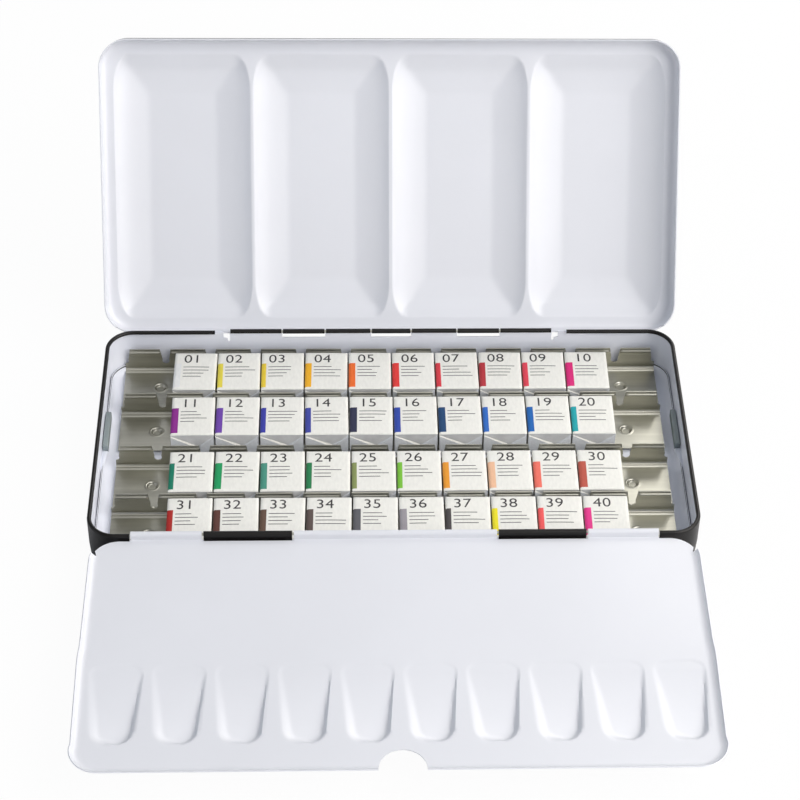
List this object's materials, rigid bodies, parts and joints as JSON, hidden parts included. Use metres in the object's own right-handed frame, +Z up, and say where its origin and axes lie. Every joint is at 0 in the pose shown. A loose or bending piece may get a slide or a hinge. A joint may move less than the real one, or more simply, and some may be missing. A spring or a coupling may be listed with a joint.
{
  "type": "watercolour paint tin",
  "caption": "Hinged metal watercolour box, open: lid with mixing wells, fold-out flap with paint wells, and rows of wrapped half pans on sprung inserts.",
  "frame": {"origin": "centre of the tray's flat underside", "axes": "+X to the right along the hinges, +Y to the back where the lid is hinged, +Z up"},
  "size_m": [0.2138, 0.2703, 0.1111],
  "materials": {
    "black_and_white_enamel": "gloss",
    "white_enamel": "gloss",
    "bright_tinplate": "satin",
    "steel_wire": "satin",
    "label_paper": "matt",
    "pan_plastic": "gloss",
    "paint_cake": "matt"
  },
  "bodies": {
    "base": {"base_tray": "black_and_white_enamel", "lid_hinge_wire": "steel_wire", "flap_hinge_wire": "steel_wire", "insert_back": "bright_tinplate", "insert_front": "bright_tinplate", "side_clip_right": "bright_tinplate", "side_clip_left": "bright_tinplate", "wrapper_01": "label_paper", "wrapper_02": "label_paper", "wrapper_03": "label_paper", "wrapper_04": "label_paper", "wrapper_05": "label_paper", "wrapper_06": "label_paper", "wrapper_07": "label_paper", "wrapper_08": "label_paper", "wrapper_09": "label_paper", "wrapper_10": "label_paper", "wrapper_11": "label_paper", "wrapper_12": "label_paper", "wrapper_13": "label_paper", "wrapper_14": "label_paper", "wrapper_15": "label_paper", "wrapper_16": "label_paper", "wrapper_17": "label_paper", "wrapper_18": "label_paper", "wrapper_19": "label_paper", "wrapper_20": "label_paper", "wrapper_21": "label_paper", "wrapper_22": "label_paper", "wrapper_23": "label_paper", "wrapper_24": "label_paper", "wrapper_25": "label_paper", "wrapper_26": "label_paper", "wrapper_27": "label_paper", "wrapper_28": "label_paper", "wrapper_29": "label_paper", "wrapper_30": "label_paper", "wrapper_31": "label_paper", "wrapper_32": "label_paper", "wrapper_33": "label_paper", "wrapper_34": "label_paper", "wrapper_35": "label_paper", "wrapper_36": "label_paper", "wrapper_37": "label_paper", "wrapper_38": "label_paper", "wrapper_39": "label_paper", "wrapper_40": "label_paper", "half_pans_row_1": "pan_plastic", "half_pans_row_2": "pan_plastic", "half_pans_row_3": "pan_plastic", "half_pans_row_4": "pan_plastic", "paint_row_1": "paint_cake", "paint_row_2": "paint_cake", "paint_row_3": "paint_cake", "paint_row_4": "paint_cake"},
    "lid": {"lid": "black_and_white_enamel"},
    "flap": {"mixing_flap": "white_enamel"}
  },
  "joints": [
    {"name": "lid_hinge", "type": "hinge", "parent": "base", "child": "lid", "pos_m": [0, 0.05375, 0.0181], "axis": [-1, 0, 0], "range_deg": [-121, 0]},
    {"name": "flap_hinge", "type": "hinge", "parent": "base", "child": "flap", "pos_m": [0, -0.05285, 0.0187], "axis": [-1, 0, 0], "range_deg": [0, 180]}
  ]
}
